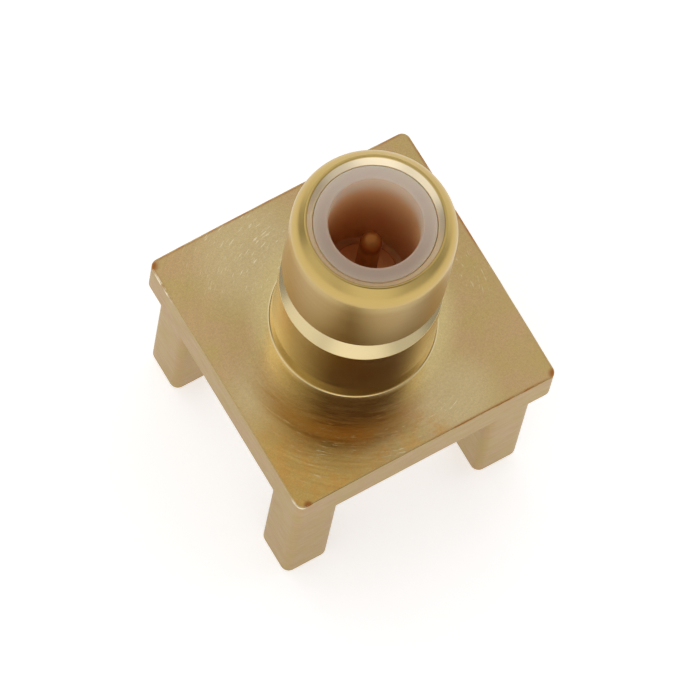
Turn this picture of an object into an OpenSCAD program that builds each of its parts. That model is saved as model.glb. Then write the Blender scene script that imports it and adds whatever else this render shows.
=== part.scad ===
// Straight push-fit coaxial jack for a circuit board, with four square legs and a centre pin.
// Origin: centre of the plate's underside, where the board's top face comes. +Z runs along the barrel.

/* [Plate] */
// Side of the square plate
plate_side = 6.75; // [6.3:0.05:9]
// Thickness of the plate
plate_thick = 1.15; // [0.8:0.05:2]
// Radius of the plate's four upright corners
plate_corner_r = 0.2; // [0.05:0.05:0.4]
// Chamfer along the plate's top and bottom edges
plate_edge_break = 0.06; // [0.02:0.01:0.15]

/* [Legs] */
// Distance from leg centre to leg centre, along X and along Y
leg_pitch = 5.08; // [4.6:0.02:5.4]
// Side of a square leg
leg_side = 1.15; // [0.8:0.05:1.3]
// Length of a leg below the plate
leg_len = 4.4; // [2.5:0.1:7]
// Radius of a leg's four upright corners
leg_corner_r = 0.2; // [0.05:0.01:0.3]
// Chamfer round a leg's end
leg_tip_break = 0.15; // [0.05:0.01:0.3]

/* [Barrel] */
// Height of the barrel above the plate
barrel_h = 5.95; // [5.5:0.05:8]
// Diameter of the snap lip
lip_d = 3.7; // [3.68:0.01:3.9]
// Height of the nose and lip together, from the rim down to the lip's lower edge
lip_h = 2.8; // [2:0.05:3.2]
// Radius that rounds the nose over to the rim
nose_r = 0.35; // [0.15:0.05:0.35]
// Diameter of the snap groove under the lip
groove_d = 3.06; // [3.02:0.02:3.24]
// Height of the sloping wall under the lip
lip_flank_h = 0.3; // [0.1:0.05:0.5]
// Height of the groove's straight floor
groove_floor_h = 0.3; // [0.1:0.05:0.6]
// Height of the sloping shoulder under the groove
shoulder_h = 0.26; // [0.1:0.02:0.4]
// Diameter of the barrel below the shoulder
shank_d = 3.7; // [3.5:0.02:3.9]
// Radius of the fillet where the barrel meets the plate
foot_fillet_r = 0.12; // [0.05:0.01:0.3]

/* [Bore] */
// Diameter of the bore that holds the insulator
bore_d = 2.76; // [2.6:0.02:2.78]
// Chamfer round the bore's mouth, inside the rim
bore_mouth_break = 0.1; // [0.04:0.02:0.1]
// Diameter of the narrower hole at the bore's lower end
seat_hole_d = 2.2; // [1.6:0.05:2.4]
// Height of the seat that the insulator stands on, above the plate's underside
seat_z = 0.5; // [0.3:0.05:0.8]

/* [Insulator] */
// Depth of the insulator's front face below the rim
face_recess = 0.1; // [0:0.01:0.3]
// Depth of its rear face inside the plate's underside
rear_recess = 0.05; // [0:0.01:0.2]
// Diameter of the socket that the plug's nose enters
socket_d = 2.08; // [1.8:0.02:2.2]
// Depth of the socket's floor below the rim
socket_depth = 3.6; // [2.6:0.1:4.6]
// Chamfer round the socket's mouth
mouth_break = 0.05; // [0.02:0.01:0.1]
// Chamfer round the insulator's front and rear outer edges
insulator_edge_break = 0.04; // [0.02:0.01:0.08]
// Radial clearance round the insulator and round the contact
press_gap = 0.01; // [0:0.005:0.03]

/* [Centre contact] */
// Diameter of the mating pin
pin_d = 0.5; // [0.4:0.02:0.6]
// Depth of the pin's tip below the rim
tip_depth = 1.05; // [0.5:0.05:1.5]
// Radius that rounds the pin's tip
tip_round_r = 0.19; // [0.05:0.02:0.19]
// Diameter of the collar that stands on the socket's floor
collar_d = 1.6; // [1.56:0.02:1.8]
// Thickness of the collar
collar_h = 0.3; // [0.2:0.05:0.5]
// Diameter of the barbed shank that the insulator holds
hold_d = 1.3; // [1.1:0.05:1.4]
// Diameter of the solder tail
tail_d = 0.9; // [0.8:0.05:1]
// How far each barb on the shank stands out
barb_out = 0.08; // [0.04:0.01:0.15]
// Height of one barb
barb_h = 0.3; // [0.2:0.05:0.4]
// Number of barbs
barb_count = 3; // [1:1:4]
// Length of plain shank between the collar and the first barb
barb_start = 0.35; // [0.2:0.05:0.6]
// How much shorter the solder tail is than the legs
tail_short = 0.2; // [0:0.05:1]
// Chamfer at the tail's end
tail_tip_break = 0.15; // [0.05:0.01:0.25]

/* [Hidden] */

// Overlap that welds the pieces of one solid together
weld = 0.2;
// How far a cut runs past the solid it cuts
cut_past = 1;
// Sides of a round surface, and of the small arcs of a profile
round_fn = 96;
arc_fn = 48;

// Heights above the plate's underside
rim_z = plate_thick + barrel_h;
lip_low_z = rim_z - lip_h;
groove_low_z = lip_low_z - lip_flank_h - groove_floor_h;
face_z = rim_z - face_recess;
floor_z = rim_z - socket_depth;
tip_z = rim_z - tip_depth;
tail_end_z = -leg_len + tail_short;

// Radii
lip_r = lip_d / 2;
groove_r = groove_d / 2;
shank_r = shank_d / 2;
bore_r = bore_d / 2;
seat_hole_r = seat_hole_d / 2;
socket_r = socket_d / 2;
pin_r = pin_d / 2;
collar_r = collar_d / 2;
hold_r = hold_d / 2;
tail_r = tail_d / 2;

// Square with round corners, centred on the origin
module rounded_square(side, corner_r) {
    square([side, side - 2 * corner_r], center = true);
    square([side - 2 * corner_r, side], center = true);
    for (x = [-1, 1], y = [-1, 1])
        translate([x, y] * (side / 2 - corner_r)) circle(r = corner_r, $fn = arc_fn);
}

// Side view of a square block from z = low to z = high, with its corners cut
module cut_side_view(side, low, high, low_cut, high_cut) {
    half = side / 2;
    polygon([
        [-half + low_cut, low], [half - low_cut, low], [half, low + low_cut], [half, high - high_cut],
        [half - high_cut, high], [-half + high_cut, high], [-half, high - high_cut], [-half, low + low_cut]
    ]);
}

// Upright square block with round corners and chamfered ends
module square_block(side, corner_r, low, high, low_cut, high_cut) {
    intersection() {
        translate([0, 0, low]) linear_extrude(high - low) rounded_square(side, corner_r);
        for_each_way(side) cut_side_view(side, low, high, low_cut, high_cut);
    }
}

// Intersection of a side view swept along X and the same view swept along Y
module for_each_way(side) {
    reach = side + 2 * cut_past;
    intersection() {
        rotate([90, 0, 0]) linear_extrude(reach, center = true) children();
        rotate([90, 0, 90]) linear_extrude(reach, center = true) children();
    }
}

// Square plate that lies on the board
module plate() {
    square_block(plate_side, plate_corner_r, 0, plate_thick, plate_edge_break, plate_edge_break);
}

// One leg, rooted in the plate
module leg() {
    square_block(leg_side, leg_corner_r, -leg_len, weld, leg_tip_break, 0);
}

// What an outer top corner loses when it is rounded, placed at the centre of its round
module corner_waste(radius) {
    difference() {
        square(radius + weld);
        circle(r = radius, $fn = arc_fn);
    }
}

// Outline of the barrel from the axis outwards, with its rounded nose and foot fillet
module barrel_profile() {
    difference() {
        polygon([
            [0, plate_thick - weld], [shank_r, plate_thick - weld],
            [shank_r, groove_low_z - shoulder_h], [groove_r, groove_low_z],
            [groove_r, lip_low_z - lip_flank_h], [lip_r, lip_low_z], [lip_r, rim_z], [0, rim_z]
        ]);
        translate([lip_r - nose_r, rim_z - nose_r]) corner_waste(nose_r);
    }
    translate([shank_r, plate_thick]) difference() {
        translate([-weld, -weld]) square(foot_fillet_r + weld);
        translate([foot_fillet_r, foot_fillet_r]) circle(r = foot_fillet_r, $fn = arc_fn);
    }
}

// Bore for the insulator, with its chamfered mouth and the seat it stands on
module bore() {
    mouth_r = bore_r + bore_mouth_break;
    rotate_extrude($fn = round_fn) polygon([
        [0, -cut_past], [seat_hole_r, -cut_past], [seat_hole_r, seat_z], [bore_r, seat_z],
        [bore_r, rim_z - bore_mouth_break], [mouth_r, rim_z], [mouth_r, rim_z + cut_past], [0, rim_z + cut_past]
    ]);
}

// One-piece body: plate, legs and barrel
module body() {
    color("goldenrod") difference() {
        union() {
            plate();
            for (x = [-1, 1], y = [-1, 1]) translate([x, y, 0] * leg_pitch / 2) leg();
            rotate_extrude($fn = round_fn) barrel_profile();
        }
        bore();
    }
}

// Outline of the contact from the collar down to the lowest barb, grown by a clearance
function barb_points(top_z, gap) = [
    for (i = [0:barb_count - 1], p = [[0, 0], [barb_out, 0], [0, -barb_h]])
        [hold_r + gap + p[0], top_z - barb_start - i * barb_h + p[1]]
];

// White sleeve that fills the bore and holds the contact
module insulator() {
    outer_r = bore_r - press_gap;
    rear_r = seat_hole_r - press_gap;
    color("whitesmoke") rotate_extrude($fn = round_fn) polygon(concat(
        [[hold_r + press_gap, floor_z]],
        barb_points(floor_z, press_gap),
        [
            [hold_r + press_gap, rear_recess],
            [rear_r - insulator_edge_break, rear_recess], [rear_r, rear_recess + insulator_edge_break],
            [rear_r, seat_z], [outer_r, seat_z],
            [outer_r, face_z - insulator_edge_break], [outer_r - insulator_edge_break, face_z],
            [socket_r + mouth_break, face_z], [socket_r, face_z - mouth_break], [socket_r, floor_z]
        ]
    ));
}

// Centre pin with its collar, barbed shank and solder tail
module centre_contact() {
    color("gold") rotate_extrude($fn = round_fn) difference() {
        polygon(concat(
            [[0, tip_z], [pin_r, tip_z], [pin_r, floor_z + collar_h]],
            [[collar_r, floor_z + collar_h], [collar_r, floor_z], [hold_r, floor_z]],
            barb_points(floor_z, 0),
            [[hold_r, rear_recess], [tail_r, rear_recess]],
            [[tail_r, tail_end_z + tail_tip_break], [tail_r - tail_tip_break, tail_end_z], [0, tail_end_z]]
        ));
        translate([pin_r - tip_round_r, tip_z - tip_round_r]) corner_waste(tip_round_r);
    }
}

body();
insulator();
centre_contact();
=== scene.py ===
import math
import bmesh
import bpy
from mathutils import Matrix, Vector, noise


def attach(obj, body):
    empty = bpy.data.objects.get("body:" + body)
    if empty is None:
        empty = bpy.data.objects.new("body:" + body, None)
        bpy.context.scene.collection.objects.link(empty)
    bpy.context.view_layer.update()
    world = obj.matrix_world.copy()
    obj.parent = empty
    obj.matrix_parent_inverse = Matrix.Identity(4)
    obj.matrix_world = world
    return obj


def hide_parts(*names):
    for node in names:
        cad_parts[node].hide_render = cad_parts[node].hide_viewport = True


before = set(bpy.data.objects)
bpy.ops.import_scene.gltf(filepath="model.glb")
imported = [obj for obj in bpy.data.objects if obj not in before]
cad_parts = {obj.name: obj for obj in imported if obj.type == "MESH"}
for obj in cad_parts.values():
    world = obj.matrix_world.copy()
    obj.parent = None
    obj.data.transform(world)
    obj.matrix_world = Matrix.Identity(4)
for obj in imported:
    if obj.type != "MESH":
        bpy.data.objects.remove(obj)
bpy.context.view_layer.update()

# A straight coaxial jack for a circuit board: gold-plated brass body, white sleeve and centre contact.
# Lengths in the dictionaries are millimetres. The scene is in metres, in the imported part's own frame.
mm = 0.001
scene = bpy.context.scene


# the camera, at the photograph's angle
photoCamera = {
    "azimuth": -42.90,     # degrees round the barrel, 0 looks along +Y
    "elevation": 68.78,    # degrees above the plate
    "roll": 13.32,         # degrees
    "distance": 183.13,    # from the centre of the plate's top face
    "aimHeight": 1.15,
    "lens": 419.32,        # on a sensor 36 wide
    "shiftX": -0.0046,
    "shiftY": -0.0461,
}


def awayVector(azimuth, elevation):
    a, e = math.radians(azimuth), math.radians(elevation)
    return Vector((math.sin(a) * math.cos(e), -math.cos(a) * math.cos(e), math.sin(e)))


def makeCamera(setup):
    back = awayVector(setup["azimuth"], setup["elevation"])
    level = (-back).cross(Vector((0, 0, 1))).normalized()
    rise = level.cross(-back)
    roll = math.radians(setup["roll"])
    right = math.cos(roll) * level + math.sin(roll) * rise
    up = math.cos(roll) * rise - math.sin(roll) * level
    data = bpy.data.cameras.new("photoCamera")
    data.sensor_width = 36
    data.lens = setup["lens"]
    data.shift_x, data.shift_y = setup["shiftX"], setup["shiftY"]
    data.clip_start, data.clip_end = 0.01, 10
    camera = bpy.data.objects.new("photoCamera", data)
    aim = Matrix((right, up, back)).transposed().to_4x4()
    place = Vector((0, 0, setup["aimHeight"])) + back * setup["distance"]
    camera.matrix_world = Matrix.Translation(place * mm) @ aim
    scene.collection.objects.link(camera)
    scene.camera = camera


makeCamera(photoCamera)
print("camera placed")


# nodes: any value can be a number, a colour or another node's output
def addNode(tree, kind, inputs=None, **settings):
    made = tree.nodes.new(kind)
    for name, value in settings.items():
        setattr(made, name, value)
    for key, value in (inputs or {}).items():
        if isinstance(value, bpy.types.NodeSocket):
            tree.links.new(value, made.inputs[key])
        else:
            made.inputs[key].default_value = value
    return made


def calc(tree, operation, *values):
    return addNode(tree, "ShaderNodeMath", dict(enumerate(values)), operation=operation).outputs[0]


def blend(tree, amount, first, second, mode="MIX"):
    made = addNode(tree, "ShaderNodeMix", {"Factor": amount}, data_type="RGBA", blend_type=mode)
    for socket, value in ((made.inputs[6], first), (made.inputs[7], second)):
        if isinstance(value, bpy.types.NodeSocket):
            tree.links.new(value, socket)
        else:
            socket.default_value = (*value, 1)
    return made.outputs[2]


def spread(tree, value, low, high, toLow=0.0, toHigh=1.0, smooth=True):
    made = addNode(tree, "ShaderNodeMapRange",
                   {"Value": value, "From Min": low, "From Max": high, "To Min": toLow, "To Max": toHigh})
    made.interpolation_type = "SMOOTHSTEP" if smooth else "LINEAR"
    return made.outputs["Result"]


def band(tree, value, low, high, soft=0.04):
    # 1 between low and high, with both ends faded inwards
    rise, fall = spread(tree, value, low, low + soft), spread(tree, value, high, high - soft)
    return calc(tree, "MULTIPLY", rise, fall)


def speckle(tree, vector, scale, detail=2.0, roughness=0.5):
    made = addNode(tree, "ShaderNodeTexNoise",
                   {"Vector": vector, "Scale": scale, "Detail": detail, "Roughness": roughness})
    return made.outputs["Fac"]


def lengthOf(tree, x, y):
    squares = [calc(tree, "MULTIPLY", part, part) for part in (x, y)]
    return calc(tree, "SQRT", calc(tree, "ADD", *squares))


def placeOf(tree):
    # position on the part in millimetres, with its parts and its distance from the barrel's axis
    coords = addNode(tree, "ShaderNodeTexCoord").outputs["Object"]
    place = addNode(tree, "ShaderNodeVectorMath", {0: coords, "Scale": 1 / mm}, operation="SCALE").outputs[0]
    x, y, z = addNode(tree, "ShaderNodeSeparateXYZ", {0: place}).outputs
    return place, x, y, z, lengthOf(tree, x, y)


def roundMarks(tree, x, y, z, radius, around, across, along=0.0):
    # coordinates that run slowly round the axis and fast across it, for the marks of a lathe tool
    return addNode(tree, "ShaderNodeCombineXYZ", {
        0: calc(tree, "MULTIPLY", calc(tree, "DIVIDE", x, radius), around),
        1: calc(tree, "MULTIPLY", calc(tree, "DIVIDE", y, radius), around),
        2: calc(tree, "ADD", calc(tree, "MULTIPLY", radius, across), calc(tree, "MULTIPLY", z, along)),
    }).outputs[0]


def spotsOf(tree, x, y, spots):
    # 1 at each (x, y, reach) and fading to 0 at its reach
    total = 0.0
    for cx, cy, reach in spots:
        away = lengthOf(tree, calc(tree, "SUBTRACT", x, cx), calc(tree, "SUBTRACT", y, cy))
        total = calc(tree, "MAXIMUM", total, spread(tree, away, reach, reach * 0.3))
    return total


def shaded(tree, colour, shade):
    grey = addNode(tree, "ShaderNodeCombineXYZ", {0: shade, 1: shade, 2: shade}).outputs[0]
    return blend(tree, 1.0, colour, grey, "MULTIPLY")


def newFinish(name):
    material = bpy.data.materials.new(name)
    material.use_nodes = True
    tree = material.node_tree
    tree.nodes.clear()
    shader = addNode(tree, "ShaderNodeBsdfPrincipled")
    output = addNode(tree, "ShaderNodeOutputMaterial")
    tree.links.new(shader.outputs[0], output.inputs["Surface"])
    return material, tree, shader


def dress(tree, shader, colour, rough, height, strength, deep=0.01, metal=1.0):
    # colour, roughness and bump of a finish; deep is the bump's height in millimetres
    bump = addNode(tree, "ShaderNodeBump", {"Strength": strength, "Distance": deep * mm, "Height": height})
    for name, value in (("Base Color", colour), ("Roughness", rough), ("Normal", bump.outputs[0])):
        tree.links.new(value, shader.inputs[name])
    shader.inputs["Metallic"].default_value = metal


# shapes: outlines are lists of (across, height) or (x, y), in millimetres
def roundedProfile(corners, steps=8, hold=0.008):
    # a corner (across, height, rounding) becomes an arc; hold is the flat beside it that keeps its shading
    points = [Vector(corners[0][:2])]
    for before, corner, after in zip(corners, corners[1:], corners[2:]):
        here = Vector(corner[:2])
        if len(corner) == 2:
            points.append(here)
            continue
        inward = (Vector(before[:2]) - here).normalized()
        outward = (Vector(after[:2]) - here).normalized()
        half = inward.angle(outward) / 2
        reach = corner[2] / math.tan(half)
        centre = here + (inward + outward).normalized() * corner[2] / math.sin(half)
        start, end = here + inward * reach - centre, here + outward * reach - centre
        points.append(here + inward * (reach + hold))
        points += [centre + start.slerp(end, i / steps).normalized() * corner[2] for i in range(steps + 1)]
        points.append(here + outward * (reach + hold))
    points.append(Vector(corners[-1][:2]))
    return points


def squareOutline(half, cornerR, sideSteps, cornerSteps):
    # round-cornered square about the origin, counter-clockwise from the +X side's lower end
    core = half - cornerR
    quarter = [(half, core * (2 * i / sideSteps - 1)) for i in range(sideSteps)]
    for i in range(cornerSteps):
        a = i / cornerSteps * math.pi / 2
        quarter.append((core + cornerR * math.cos(a), core + cornerR * math.sin(a)))
    points = list(quarter)
    for _ in range(3):
        quarter = [(-y, x) for x, y in quarter]
        points += quarter
    return points


def turned(profile, angles):
    # one loop round the Z axis for each point of a profile
    return [[(r * math.cos(a), r * math.sin(a), z) for a in angles] for r, z in profile]


def evenAngles(count):
    return [2 * math.pi * i / count for i in range(count)]


def stitch(shape, low, high, finishIndex=0):
    # quads between two loops of the same count
    for i in range(len(low)):
        j = (i + 1) % len(low)
        shape.faces.new((low[i], low[j], high[j], high[i])).material_index = finishIndex


def skin(shape, loops, finishIndex=0):
    # makes the points of each loop and joins it to the next
    rows = [[shape.verts.new(Vector(point) * mm) for point in loop] for loop in loops]
    for low, high in zip(rows, rows[1:]):
        stitch(shape, low, high, finishIndex)
    return rows


def makePiece(name, shape, finishes, node, sharpAngle=32):
    bmesh.ops.recalc_face_normals(shape, faces=shape.faces)
    mesh = bpy.data.meshes.new(name)
    shape.to_mesh(mesh)
    shape.free()
    mesh.polygons.foreach_set("use_smooth", [True] * len(mesh.polygons))
    mesh.set_sharp_from_angle(angle=math.radians(sharpAngle))
    for finish in finishes:
        mesh.materials.append(finish)
    piece = bpy.data.objects.new(name, mesh)
    scene.collection.objects.link(piece)
    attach(piece, "root")
    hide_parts(node)
    print(name, "made with", len(mesh.polygons), "faces")


# the body: plate, legs and barrel in one piece
barrelMake = {
    "footR": 1.895,
    "footRound": 0.03,
    "flareHigh": 1.55,       # the foot's slight flare ends here
    "flareRound": 0.8,
    "shankR": 1.85,
    "shoulderLow": 3.44,
    "grooveR": 1.53,
    "grooveLow": 3.7,
    "grooveHigh": 4.0,
    "lipR": 1.85,
    "lipLow": 4.3,
    "noseLow": 6.82,
    "noseRound": 0.62,
    "rimR": 1.57,
    "rimHigh": 7.1,
    "mouthR": 1.53,
    "mouthLow": 6.95,        # the mouth's chamfer ends here
    "boreR": 1.38,
    "seatR": 1.1,
    "seatHigh": 0.5,
    "arcSteps": 12,
}


def barrelCorners(make, plateTop):
    # from the plate up over the nose and down the bore to the underside; the third number is the rounding
    return [
        (make["footR"] + 0.045, plateTop), (make["footR"], plateTop, make["footRound"]),
        (make["shankR"], make["flareHigh"], make["flareRound"]), (make["shankR"], make["shoulderLow"], 0.02),
        (make["grooveR"], make["grooveLow"], 0.03), (make["grooveR"], make["grooveHigh"], 0.03),
        (make["lipR"], make["lipLow"], 0.04), (make["lipR"], make["noseLow"], make["noseRound"]),
        (make["rimR"], make["rimHigh"], 0.05), (make["mouthR"], make["rimHigh"], 0.01),
        (make["boreR"], make["mouthLow"], 0.012), (make["boreR"], make["seatHigh"], 0.02),
        (make["seatR"], make["seatHigh"], 0.02), (make["seatR"], 0),
    ]


bodyMake = {
    "plateHalf": 3.375,
    "plateThick": 1.15,
    "plateCornerR": 0.2,
    "edgeRound": 0.025,
    "edgeWave": 0.006,       # how far the milled edge strays inwards
    "waveScale": 1.7,        # waves along a millimetre of it
    "waveSeed": 3.1,
    "cornerDrop": 0.085,     # how far the tumbled corners fall away
    "dropFrom": 2.95,        # distance from the axis where they start to
    "dropOver": 1.65,
    "legPlace": 2.54,
    "legHalf": 0.575,
    "legLength": 4.4,
    "legCornerR": 0.2,
    "legTipCut": 0.15,
    "legRootR": 0.15,
    "plateSteps": (40, 8),   # along a side and round a corner
    "legSteps": (8, 6),
    "topRings": 18,
}


def makeBody(make, barrelSizes, finishes):
    shape = bmesh.new()
    onBarrel, onTop, onSide = range(3)
    half, thick, edgeR = make["plateHalf"], make["plateThick"], make["edgeRound"]

    def sag(x, y):
        past = max(0.0, math.hypot(x, y) - make["dropFrom"])
        return make["cornerDrop"] * (past / make["dropOver"]) ** 1.2

    def outlineAt(reach):
        return squareOutline(reach, max(0.03, make["plateCornerR"] - (half - reach)), *make["plateSteps"])

    # the barrel has a point for each point of the plate's outline
    angles = [math.atan2(y, x) for x, y in outlineAt(half)]
    profile = roundedProfile(barrelCorners(barrelSizes, thick), barrelSizes["arcSteps"])
    barrel = skin(shape, turned(profile, angles), onBarrel)

    # the plate's side with its rounded edges, slightly wavy from the mill
    rimEdge = roundedProfile([(0, thick), (half, thick, edgeR), (half, 0, edgeR), (0, 0)], 4)
    walls = []
    for reach, z in rimEdge[1:-1]:
        loop = []
        for x, y in outlineAt(reach):
            wave = noise.noise(Vector((x * make["waveScale"], y * make["waveScale"], make["waveSeed"])))
            stray = 1 - make["edgeWave"] * (0.5 + 0.5 * wave) / half
            loop.append((x * stray, y * stray, z - (sag(x, y) if z > thick / 2 else 0)))
        walls.append(loop)
    wall = skin(shape, walls, onSide)

    # the plate's top, in rings from the barrel's foot to the edge
    rows = [barrel[0]]
    for k in range(1, make["topRings"]):
        places = [a.co.lerp(b.co, k / make["topRings"]) for a, b in zip(barrel[0], wall[0])]
        rows.append([shape.verts.new((p.x, p.y, (thick - sag(p.x / mm, p.y / mm)) * mm)) for p in places])
    rows.append(wall[0])
    for low, high in zip(rows, rows[1:]):
        stitch(shape, low, high, onTop)

    legHalf, length, cut, rootR = make["legHalf"], make["legLength"], make["legTipCut"], make["legRootR"]
    legEdge = roundedProfile([
        (legHalf + rootR + 0.01, 0), (legHalf, 0, rootR), (legHalf, -length + cut, 0.05),
        (legHalf - cut, -length, 0.05), (legHalf / 3, -length),
    ], 6)
    roots = []
    for sx, sy in ((1, 1), (-1, 1), (-1, -1), (1, -1)):
        loops = []
        for reach, z in legEdge:
            cornerR = max(0.03, make["legCornerR"] - (legHalf - reach) * 0.5)
            loops.append([(x + sx * make["legPlace"], y + sy * make["legPlace"], z)
                          for x, y in squareOutline(reach, cornerR, *make["legSteps"])])
        rows = skin(shape, loops, onSide)
        shape.faces.new(rows[-1]).material_index = onSide
        roots.append(rows[0])

    # the underside, between the bore, the plate's edge and the legs
    rims = [barrel[-1], wall[-1], *roots]
    edges = [shape.edges.get((rim[i], rim[(i + 1) % len(rim)])) for rim in rims for i in range(len(rim))]
    filled = bmesh.ops.triangle_fill(shape, use_beauty=True, edges=edges)
    for face in filled["geom"]:
        if isinstance(face, bmesh.types.BMFace):
            face.material_index = onSide
    makePiece("jackBody", shape, finishes, "body")


barrelFinish = {
    "gold": (0.69, 0.52, 0.22),
    "deepGold": (0.64, 0.44, 0.16),
    "lipGold": (0.47, 0.305, 0.088),
    "noseGold": (0.56, 0.40, 0.135),
    "noseFade": (6.1, 6.5),               # heights between which the lip's gold turns into the nose's
    "shoulderHighlightGold": (0.80, 0.65, 0.36),   # painted highlight on the shoulder and the foot line
    "mouthGold": (0.98, 0.84, 0.59),      # painted highlight on the chamfer round the sleeve
    # painted shade in the groove
    "grooveShadeGold": (0.38, 0.22, 0.07),
    "roughness": 0.17,
    "roughnessSpread": 0.06,
    "lipRoughness": 0.11,                 # added on the lip
    "toolMarks": 0.02,
    "markScale": (1.2, 14.0, 14.0),       # round the axis, across it and along it
    "cloudScale": 1.6,
}


def makeBarrelFinish(look, make, plateTop):
    material, tree, shader = newFinish("goldTurnedBarrel")
    place, x, y, z, radius = placeOf(tree)
    rings = speckle(tree, roundMarks(tree, x, y, z, radius, *look["markScale"]), 1.0, 3.0, 0.6)
    cloud = speckle(tree, place, look["cloudScale"], 3.0)
    onLip = spread(tree, z, make["grooveHigh"], make["grooveHigh"] + 0.1)
    onNose = spread(tree, z, *look["noseFade"])
    # the chamfer round the sleeve takes a pale painted highlight
    mouthHighlight = calc(tree, "MULTIPLY", spread(tree, radius, make["mouthR"] - 0.01, make["mouthR"] - 0.03),
                   spread(tree, z, make["mouthLow"] - 0.15, make["mouthLow"] - 0.05))
    # the foot line and the shoulder take a pale painted highlight
    footLineHighlight = calc(tree, "MULTIPLY", spread(tree, z, plateTop + 0.09, plateTop + 0.05), 0.9)
    shoulderHighlight = band(tree, z, make["shoulderLow"] - 0.02, make["grooveLow"] + 0.04)
    # painted shade in the groove, darker and redder than the gold around it
    grooveShade = band(tree, z, make["grooveLow"], make["lipLow"])
    colour = blend(tree, spread(tree, cloud, 0.35, 0.7, 0.0, 0.5), look["gold"], look["deepGold"])
    for mask, gold in ((onLip, "lipGold"), (onNose, "noseGold"),
                       (calc(tree, "MAXIMUM", footLineHighlight, shoulderHighlight), "shoulderHighlightGold"),
                       (mouthHighlight, "mouthGold"), (grooveShade, "grooveShadeGold")):
        colour = blend(tree, mask, colour, look[gold])
    rough = spread(tree, rings, 0.3, 0.7, look["roughness"], look["roughness"] + look["roughnessSpread"])
    rough = calc(tree, "ADD", rough, calc(tree, "MULTIPLY", onLip, look["lipRoughness"]))
    dress(tree, shader, colour, rough, rings, look["toolMarks"])
    return material


plateFinish = {
    "greenGold": (0.575, 0.415, 0.165),
    "pinkGold": (0.60, 0.405, 0.195),
    "footGold": (0.72, 0.57, 0.26),       # the polished zone round the barrel's foot
    "footZone": (2.55, 1.9),              # radii where it starts and where it is full
    "yellow": (0.62, 0.41, 0.125),
    # painted sheen in patches on the plate's face
    "pale": (0.66, 0.51, 0.26),
    "orange": (0.64, 0.35, 0.09),         # tarnish towards the front corner
    "orangeness": 0.7,
    "tarnish": (0.38, 0.15, 0.04),        # along the edges
    # pale painted glint on the tool strokes
    "scratchGlint": (0.88, 0.76, 0.50),
    "grain": 0.08,
    "roughness": 0.19,
    "footPolish": 0.06,
    "anisotropy": 0.35,
    "toolMarks": 0.05,
    "markScale": (3.0, 16.0),             # round the axis and across it
    "strokeScale": (13.0, 34.0),
    "strokeCut": (0.62, 0.82),            # higher values leave fewer strokes
    "cloudScale": 0.9,
    "orangeScale": 2.2,
    "grainScale": 24.0,
    # x, y and reach of each spot
    "scratchGlintAt": ((-1.4, 2.7, 1.8), (2.9, 0.0, 1.1), (-2.1, -2.1, 1.4), (-0.6, -2.9, 1.2), (0.7, -3.1, 0.7)),
    "yellowAt": ((-2.7, -2.7, 2.4),),
    "paleAt": ((-1.2, 2.4, 1.9), (-2.4, -0.8, 1.5), (1.0, -2.7, 1.4)),
    "stainsAndShadeAt": ((-3.34, 3.28, 0.20), (3.34, -3.30, 0.20), (-3.12, -3.34, 0.14)),
    "orangeAt": ((-3.0, -3.0, 2.3), (-1.9, -2.7, 1.2), (-1.0, -2.9, 1.2), (0.0, -3.25, 0.8)),
    "darkEdgeAt": ((-2.4, 3.4, 1.6), (-0.4, 3.4, 1.8), (1.6, 3.4, 1.6),
                   (3.4, 3.0, 1.4), (3.4, 1.0, 1.6), (1.8, -3.4, 2.2)),
}


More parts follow.
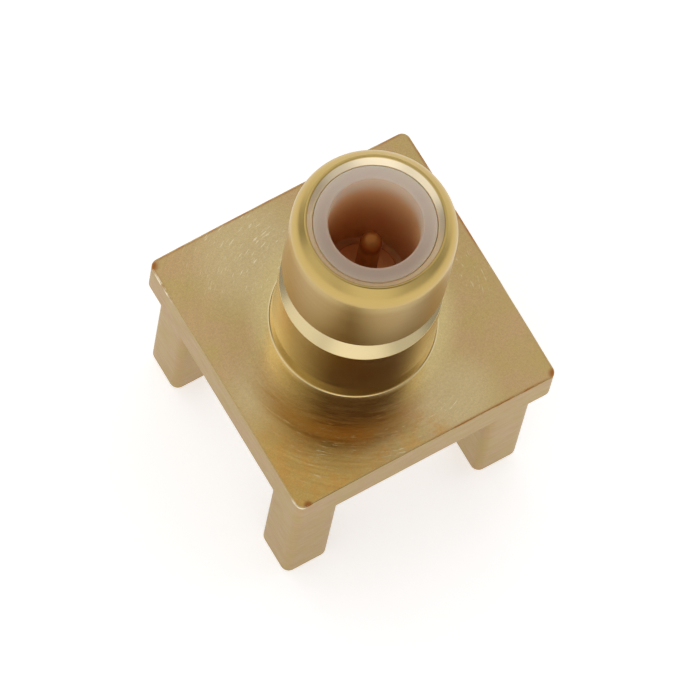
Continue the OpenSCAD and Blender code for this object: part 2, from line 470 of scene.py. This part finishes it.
def makePlateFinish(look, half):
    material, tree, shader = newFinish("goldFacedPlate")
    place, x, y, z, radius = placeOf(tree)
    rings = speckle(tree, roundMarks(tree, x, y, z, radius, *look["markScale"]), 1.0, 4.0, 0.65)
    cloud = speckle(tree, place, look["cloudScale"], 5.0, 0.6)
    grain = speckle(tree, place, look["grainScale"], 2.0, 0.7)
    nearFoot = spread(tree, radius, *look["footZone"])

    # short strokes of the facing tool, in places, lightened as a painted glint
    strokes = speckle(tree, roundMarks(tree, x, y, z, radius, *look["strokeScale"]), 1.0, 1.0)
    strokes = spread(tree, strokes, *look["strokeCut"])
    scratchGlint = calc(tree, "MULTIPLY", strokes, spotsOf(tree, x, y, look["scratchGlintAt"]))

    # mottled orange tarnish
    orange = spread(tree, speckle(tree, place, look["orangeScale"], 4.0, 0.65), 0.4, 0.62)
    orange = calc(tree, "MULTIPLY", orange, spotsOf(tree, x, y, look["orangeAt"]))
    orange = calc(tree, "MULTIPLY", orange, look["orangeness"])

    # dark tarnish, a thin ragged line along the edges and a spot at three corners
    reach = calc(tree, "MAXIMUM", calc(tree, "ABSOLUTE", x), calc(tree, "ABSOLUTE", y))
    ragged = calc(tree, "ADD", reach, calc(tree, "MULTIPLY", grain, 0.10))
    edge = spread(tree, ragged, half - 0.035, half + 0.045)
    edge = calc(tree, "MULTIPLY", edge, spotsOf(tree, x, y, look["darkEdgeAt"]))
    dark = calc(tree, "MAXIMUM", calc(tree, "MULTIPLY", edge, 0.9), spotsOf(tree, x, y, look["stainsAndShadeAt"]))

    colour = blend(tree, spread(tree, cloud, 0.38, 0.62), look["greenGold"], look["pinkGold"])
    # paler patches on the plate's face, a painted sheen
    colour = blend(tree, spotsOf(tree, x, y, look["paleAt"]), colour, look["pale"])
    colour = blend(tree, spotsOf(tree, x, y, look["yellowAt"]), colour, look["yellow"])
    colour = blend(tree, orange, colour, look["orange"])
    colour = blend(tree, nearFoot, colour, look["footGold"])
    grainy = spread(tree, grain, 0.3, 0.7, 1 - look["grain"], 1 + look["grain"], smooth=False)
    colour = shaded(tree, colour, grainy)
    colour = blend(tree, dark, colour, look["tarnish"])
    # the tool strokes take a pale painted glint
    colour = blend(tree, scratchGlint, colour, look["scratchGlint"])
    rough = spread(tree, rings, 0.3, 0.7, look["roughness"] - 0.05, look["roughness"] + 0.06)
    rough = calc(tree, "SUBTRACT", rough, calc(tree, "MULTIPLY", nearFoot, look["footPolish"]))
    height = calc(tree, "ADD", rings, calc(tree, "MULTIPLY", scratchGlint, 0.8))
    dress(tree, shader, colour, rough, height, look["toolMarks"], 0.02)

    # the facing marks run round the barrel, so the gloss stretches across them
    tangent = addNode(tree, "ShaderNodeTangent", direction_type="RADIAL", axis="Z")
    tree.links.new(tangent.outputs[0], shader.inputs["Tangent"])
    shader.inputs["Anisotropic"].default_value = look["anisotropy"]
    shader.inputs["Anisotropic Rotation"].default_value = 0.25
    return material


sideFinish = {
    "gold": (0.44, 0.31, 0.11),
    "pinkGold": (0.455, 0.30, 0.13),
    "edgeGold": (0.58, 0.43, 0.20),
    "edgeTarnish": (0.48, 0.21, 0.06),
    "pale": (0.88, 0.76, 0.54),           # painted highlights on bits of the top edge
    "paleAt": ((-3.34, -3.24, 0.26), (-3.375, 2.75, 0.55)),
    "roughness": 0.42,
    "toolMarks": 0.15,
    "markScale": (2.0, 2.0, 18.0),
    "cloudScale": 1.3,
    "highlightBreakScale": 7.0,
}


def makeSideFinish(look, plate, plateTop):
    material, tree, shader = newFinish("goldMilledSide")
    place, x, y, z, _ = placeOf(tree)
    stretched = addNode(tree, "ShaderNodeMapping", {"Vector": place, "Scale": look["markScale"]}).outputs[0]
    marks = speckle(tree, stretched, 1.0, 3.0, 0.6)
    cloud = speckle(tree, place, look["cloudScale"], 3.0)

    # the rounded top edge is brighter, and dark where the plate's face is
    facing = addNode(tree, "ShaderNodeNewGeometry").outputs["Normal"]
    upward = addNode(tree, "ShaderNodeSeparateXYZ", {0: facing}).outputs[2]
    nearTop = spread(tree, z, plateTop - 0.25, plateTop - 0.15)
    topEdge = calc(tree, "MULTIPLY", spread(tree, upward, 0.1, 0.5), nearTop)
    dark = calc(tree, "MULTIPLY", spotsOf(tree, x, y, plate["darkEdgeAt"]), spread(tree, marks, 0.35, 0.6))
    dark = calc(tree, "MAXIMUM", dark, spotsOf(tree, x, y, plate["stainsAndShadeAt"]))
    # bits of the top edge take painted highlights, broken up by noise
    high = spread(tree, z, plateTop - 0.19, plateTop - 0.13)
    edgeHighlight = calc(tree, "MULTIPLY", spotsOf(tree, x, y, look["paleAt"]), high)
    highlightBreakup = spread(tree, speckle(tree, place, look["highlightBreakScale"]), 0.35, 0.60)
    edgeHighlight = calc(tree, "MULTIPLY", edgeHighlight, highlightBreakup)

    colour = blend(tree, spread(tree, cloud, 0.35, 0.65), look["gold"], look["pinkGold"])
    colour = blend(tree, topEdge, colour, blend(tree, dark, look["edgeGold"], look["edgeTarnish"]))
    colour = blend(tree, edgeHighlight, colour, look["pale"])
    rough = spread(tree, marks, 0.3, 0.7, look["roughness"] - 0.05, look["roughness"] + 0.06)
    dress(tree, shader, colour, rough, marks, look["toolMarks"], 0.02)
    return material


makeBody(bodyMake, barrelMake, [
    makeBarrelFinish(barrelFinish, barrelMake, bodyMake["plateThick"]),
    makePlateFinish(plateFinish, bodyMake["plateHalf"]),
    makeSideFinish(sideFinish, plateFinish, bodyMake["plateThick"]),
])


# the white insulator in the bore
sleeveMake = {
    "outerR": 1.37,
    "outerHigh": 6.97,
    "faceHigh": 7.02,        # at the socket's mouth, so the face is slightly domed
    "socketR": 1.04,
    "socketLow": 3.5,
    "lowerR": 1.09,          # below the seat
    "seatHigh": 0.5,
    "low": 0.05,
    "holeR": 0.66,           # round the contact's shank
    "barbOut": 0.08,
    "barbHigh": 0.3,
    "barbCount": 3,
    "barbTop": 3.15,
    "sides": 128,
}


def barbPoints(radius, make):
    points = []
    for i in range(make["barbCount"]):
        top = make["barbTop"] - i * make["barbHigh"]
        points += [(radius, top), (radius + make["barbOut"], top), (radius, top - make["barbHigh"])]
    return [Vector(point) for point in points]


def makeSleeve(make, finish):
    shape = bmesh.new()
    profile = roundedProfile([
        (make["holeR"], make["low"]), (make["lowerR"], make["low"], 0.04), (make["lowerR"], make["seatHigh"]),
        (make["outerR"], make["seatHigh"]), (make["outerR"], make["outerHigh"], 0.03),
        (make["socketR"], make["faceHigh"], 0.05), (make["socketR"], make["socketLow"], 0.05),
        (make["holeR"], make["socketLow"]),
    ])
    rows = skin(shape, turned(profile + barbPoints(make["holeR"], make), evenAngles(make["sides"])))
    stitch(shape, rows[-1], rows[0])
    makePiece("ptfeSleeve", shape, [finish], "insulator")


sleeveFinish = {
    "white": (0.76, 0.64, 0.54),
    "cream": (0.78, 0.66, 0.53),
    # painted shade, darker towards the front of the face
    "nearSideShade": (0.50, 0.38, 0.29),
    "stainsAndShadeAt": ((-0.9, -1.0, 3.2),),
    # painted light on the top of the socket's wall
    "mouth": (0.96, 0.80, 0.62),
    "shade": (0.98, 0.60, 0.31),    # painted warm shade down in the socket
    "clearDepth": 0.25,             # depths where that starts and where it is full
    "shadeDepth": 1.0,
    "roughness": 0.45,
    "glow": 0.6,
    "glowReach": 0.25,
    "toolMarks": 0.15,
    "markScale": (1.0, 22.0, 22.0),
    "cloudScale": 1.5,
    "grainScale": 9.0,
}


def makeSleeveFinish(look, faceHigh):
    material, tree, shader = newFinish("whiteSleeve")
    place, x, y, z, radius = placeOf(tree)
    grain = speckle(tree, place, look["grainScale"], 3.0)
    cloud = speckle(tree, place, look["cloudScale"], 2.0)
    marks = speckle(tree, roundMarks(tree, x, y, z, radius, *look["markScale"]), 1.0, 2.0)
    depth = calc(tree, "SUBTRACT", faceHigh, z)
    colour = blend(tree, spread(tree, cloud, 0.35, 0.65), look["white"], look["cream"])
    # painted shade darkens the face towards the front
    colour = blend(tree, spotsOf(tree, x, y, look["stainsAndShadeAt"]), colour, look["nearSideShade"])
    # painted light on the top of the socket's wall
    colour = blend(tree, spread(tree, depth, 0.02, 0.1), colour, look["mouth"])
    # deeper in the socket the colour turns to a painted warm shade
    colour = blend(tree, spread(tree, depth, look["clearDepth"], look["shadeDepth"]), colour, look["shade"])
    rough = spread(tree, grain, 0.3, 0.7, look["roughness"] - 0.05, look["roughness"] + 0.08)
    dress(tree, shader, colour, rough, marks, look["toolMarks"], metal=0.0)
    shader.inputs["Subsurface Weight"].default_value = look["glow"]
    shader.inputs["Subsurface Radius"].default_value = (1.0, 0.55, 0.35)
    shader.inputs["Subsurface Scale"].default_value = look["glowReach"] * mm
    return material


makeSleeve(sleeveMake, makeSleeveFinish(sleeveFinish, sleeveMake["faceHigh"]))


# the centre contact: pin, collar, barbed shank and solder tail
contactMake = {
    "tipHigh": 6.05,
    "tipRound": 0.19,
    "pinR": 0.25,
    "collarR": 0.8,
    "collarHigh": 3.8,
    "collarLow": 3.5,
    "shankR": 0.65,
    "shankLow": 0.05,
    "tailR": 0.45,
    "tailLow": -4.2,
    "tailCut": 0.15,
    "sides": 96,
}


def makeContact(make, barbs, finish):
    shape = bmesh.new()
    pinR, collarR, shankR, tailR = (make[name] for name in ("pinR", "collarR", "shankR", "tailR"))
    top = roundedProfile([
        (0.05, make["tipHigh"]), (pinR, make["tipHigh"], make["tipRound"]), (pinR, make["collarHigh"], 0.03),
        (collarR, make["collarHigh"], 0.03), (collarR, make["collarLow"]), (shankR, make["collarLow"]),
    ])
    low = roundedProfile([
        (shankR, make["shankLow"]), (tailR, make["shankLow"]),
        (tailR, make["tailLow"] + make["tailCut"], 0.04),
        (tailR - make["tailCut"], make["tailLow"], 0.04), (0.1, make["tailLow"]),
    ])
    rows = skin(shape, turned(top + barbPoints(shankR, barbs) + low, evenAngles(make["sides"])))
    shape.faces.new(rows[0])
    shape.faces.new(rows[-1])
    makePiece("centreContact", shape, [finish], "centre_contact")


contactFinish = {
    "gold": (0.70, 0.50, 0.20),
    "collarShadeGold": (0.70, 0.36, 0.145),    # painted shade in the socket
    "shaftShadeGold": (0.50, 0.26, 0.10),
    "tipShadeGold": (0.32, 0.12, 0.03),
    "roughness": 0.5,
    "toolMarks": 0.05,
    "cloudScale": 4.0,
}


def makeContactFinish(look, make):
    material, tree, shader = newFinish("goldContact")
    place, _, _, z, _ = placeOf(tree)
    cloud = speckle(tree, place, look["cloudScale"], 3.0)
    onCollar = spread(tree, z, make["collarLow"] - 0.1, make["collarLow"])
    onShaft = spread(tree, z, make["collarHigh"] + 0.02, make["collarHigh"] + 0.3)
    onTip = spread(tree, z, make["tipHigh"] - 0.55, make["tipHigh"] - 0.2)
    # the collar, shaft and tip down in the socket get darker, redder colours as painted shade
    colour = blend(tree, onCollar, look["gold"], look["collarShadeGold"])
    colour = blend(tree, onShaft, colour, look["shaftShadeGold"])
    colour = blend(tree, onTip, colour, look["tipShadeGold"])
    colour = shaded(tree, colour, spread(tree, cloud, 0.3, 0.7, 1.0, 0.9))
    rough = spread(tree, cloud, 0.3, 0.7, look["roughness"], look["roughness"] + 0.06)
    dress(tree, shader, colour, rough, cloud, look["toolMarks"])
    return material


makeContact(contactMake, sleeveMake, makeContactFinish(contactFinish, contactMake))


# floor and light tent
studio = {
    "floorSide": 900,
    "floorWhite": 0.86,
    "floorLift": 0.55,       # added for the camera and for reflections, so that the floor reads as white
    "wallStrength": 0.62,
    # each patch: azimuth, elevation, degrees to its full strength, degrees to its end, strength
    "patches": (
        (102, 60, 8, 32, 1.06),
        (170, 60, 8, 34, 1.30),
        (137, 66, 6, 23, 0.74),
        (-95, 22, 8, 34, 0.92),
        (-30, 24, 14, 38, 1.10),
        (-140, 4, 8, 26, 0.30),
        (52, 4, 8, 26, 0.30),
        (-45, 74, 1, 9, 0.02),
    ),
    "dusk": (-7, 68, 11, 36),             # the warm dark room above the camera
    "duskColour": (0.125, 0.08, 0.07),
}


def makeFloor(look, height):
    material = bpy.data.materials.new("paleFloor")
    material.use_nodes = True
    tree = material.node_tree
    tree.nodes.clear()
    matt = addNode(tree, "ShaderNodeBsdfDiffuse", {"Color": (look["floorWhite"],) * 3 + (1,)})
    ray = addNode(tree, "ShaderNodeLightPath")
    seen = calc(tree, "MAXIMUM", ray.outputs["Is Camera Ray"],
                calc(tree, "MAXIMUM", ray.outputs["Is Glossy Ray"], ray.outputs["Is Transmission Ray"]))
    lift = addNode(tree, "ShaderNodeEmission", {"Color": (1, 1, 1, 1),
                                                "Strength": calc(tree, "MULTIPLY", seen, look["floorLift"])})
    lit = addNode(tree, "ShaderNodeAddShader", {0: matt.outputs[0], 1: lift.outputs[0]})
    clear = addNode(tree, "ShaderNodeBsdfTransparent")
    under = addNode(tree, "ShaderNodeNewGeometry").outputs["Backfacing"]
    both = addNode(tree, "ShaderNodeMixShader", {0: under, 1: lit.outputs[0], 2: clear.outputs[0]})
    output = addNode(tree, "ShaderNodeOutputMaterial")
    tree.links.new(both.outputs[0], output.inputs["Surface"])
    shape = bmesh.new()
    bmesh.ops.create_grid(shape, x_segments=1, y_segments=1, size=look["floorSide"] * mm / 2)
    mesh = bpy.data.meshes.new("studioFloor")
    shape.to_mesh(mesh)
    shape.free()
    mesh.materials.append(material)
    floor = bpy.data.objects.new("studioFloor", mesh)
    floor.location.z = height * mm
    scene.collection.objects.link(floor)


def makeTentLight(look):
    # an even tent with soft brighter and darker patches, and a warm dark one over the camera
    world = bpy.data.worlds.new("lightTent")
    scene.world = world
    world.use_nodes = True
    tree = world.node_tree
    tree.nodes.clear()
    way = addNode(tree, "ShaderNodeTexCoord").outputs["Generated"]

    def patch(azimuth, elevation, full, end):
        near = addNode(tree, "ShaderNodeVectorMath", {0: way, 1: awayVector(azimuth, elevation)},
                       operation="DOT_PRODUCT").outputs["Value"]
        return spread(tree, near, math.cos(math.radians(end)), math.cos(math.radians(full)))

    colour = (look["wallStrength"],) * 3
    for *where, level in look["patches"]:
        colour = blend(tree, patch(*where), colour, (level,) * 3)
    colour = blend(tree, patch(*look["dusk"]), colour, look["duskColour"])
    light = addNode(tree, "ShaderNodeBackground", {"Color": colour, "Strength": 1.0})
    output = addNode(tree, "ShaderNodeOutputWorld")
    tree.links.new(light.outputs[0], output.inputs["Surface"])


makeFloor(studio, -bodyMake["legLength"])
makeTentLight(studio)
scene.view_settings.view_transform = "Standard"
print("floor and light tent placed")
